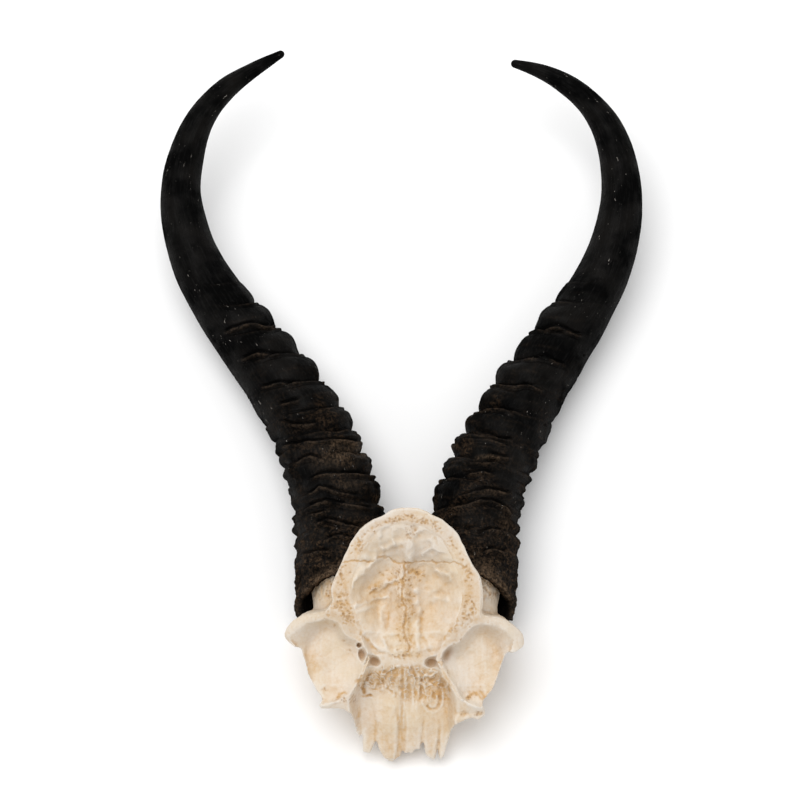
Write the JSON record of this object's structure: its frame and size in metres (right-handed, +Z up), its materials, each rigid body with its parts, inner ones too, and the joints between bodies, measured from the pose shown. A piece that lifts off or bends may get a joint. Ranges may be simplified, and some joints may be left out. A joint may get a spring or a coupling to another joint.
{
  "type": "springbok skull plate with horns",
  "caption": "Sawn-off top of a springbok skull with its horn cores, seen from the braincase side, carrying two loose black ringed lyre-shaped horn sheaths.",
  "frame": {"origin": "middle of the bounding box's underside, on the surface that the plate lies on", "axes": "+Y from the nasal end towards the horn tips, +Z up out of the open braincase side, +X to the picture's right"},
  "size_m": [0.2264, 0.339, 0.0677],
  "materials": {
    "bone": "dry matte cream bone with ochre stain in the pores and sutures",
    "horn": "near-black ringed keratin, low gloss, brown dirt in the grooves"
  },
  "bodies": {
    "root": {"skull_plate": "bone", "left_horn_sheath": "horn", "right_horn_sheath": "horn"}
  },
  "joints": []
}
